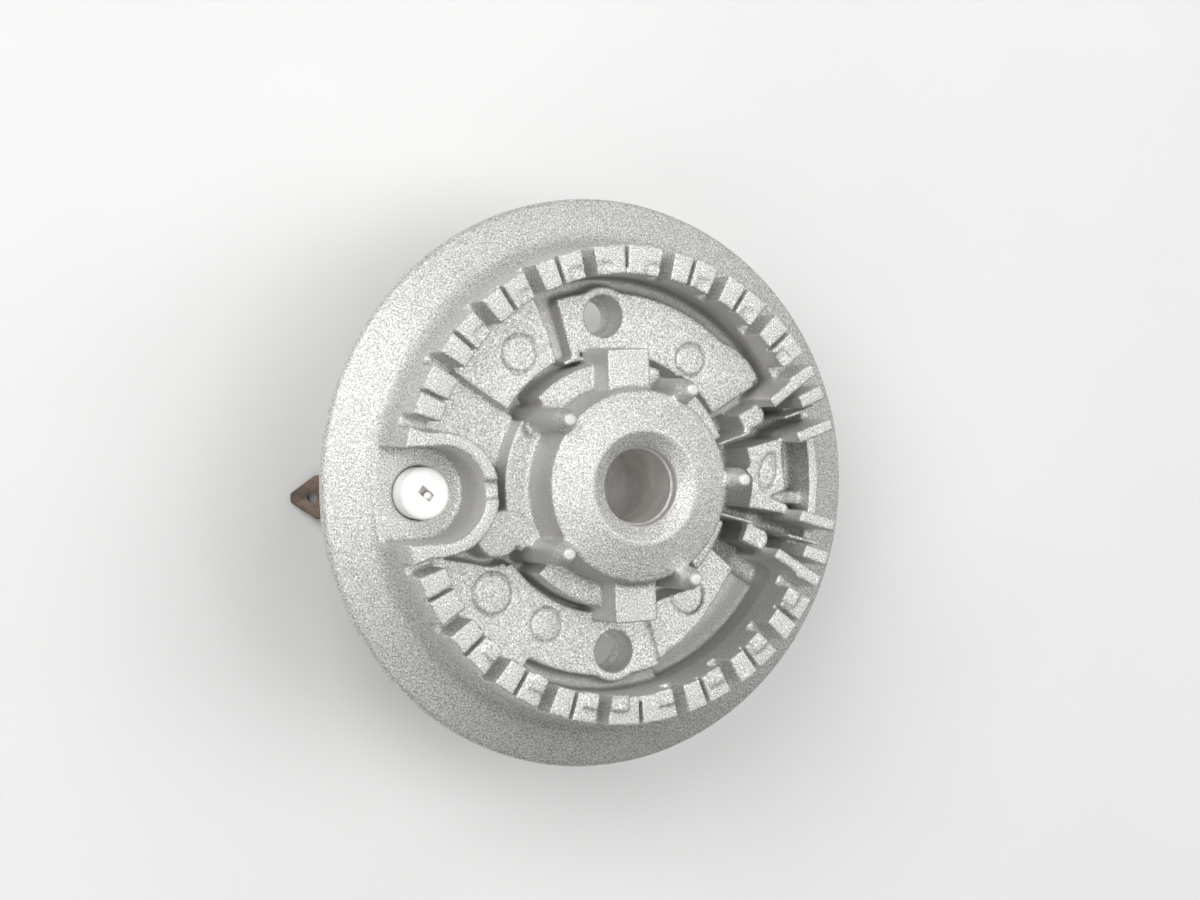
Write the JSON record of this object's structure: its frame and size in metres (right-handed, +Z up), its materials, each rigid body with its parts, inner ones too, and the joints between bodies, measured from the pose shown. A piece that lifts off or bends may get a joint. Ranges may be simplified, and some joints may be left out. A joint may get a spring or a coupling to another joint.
{
  "type": "gas burner head",
  "caption": "Round die-cast gas burner body with a slotted crown, a central gas throat, two screw holes and a ceramic spark electrode at one side.",
  "frame": {"origin": "centre of the throat, in the plane of the flange's bottom edge", "axes": "+Z up the burner axis towards the flame slots, -X towards the electrode, +Y through one of the two screw holes"},
  "size_m": [0.0788, 0.0788, 0.049],
  "materials": {
    "cast_aluminium": "blasted casting, matt grey",
    "ceramic": "white, smooth",
    "wire": "drawn wire",
    "terminal": "dark brown, dull",
    "spring_steel": "plain strip"
  },
  "bodies": {
    "root": {"burner_casting": "cast_aluminium", "insulator": "ceramic", "electrode_wire": "wire", "terminal_tab": "terminal", "electrode_clip": "spring_steel"}
  },
  "joints": []
}
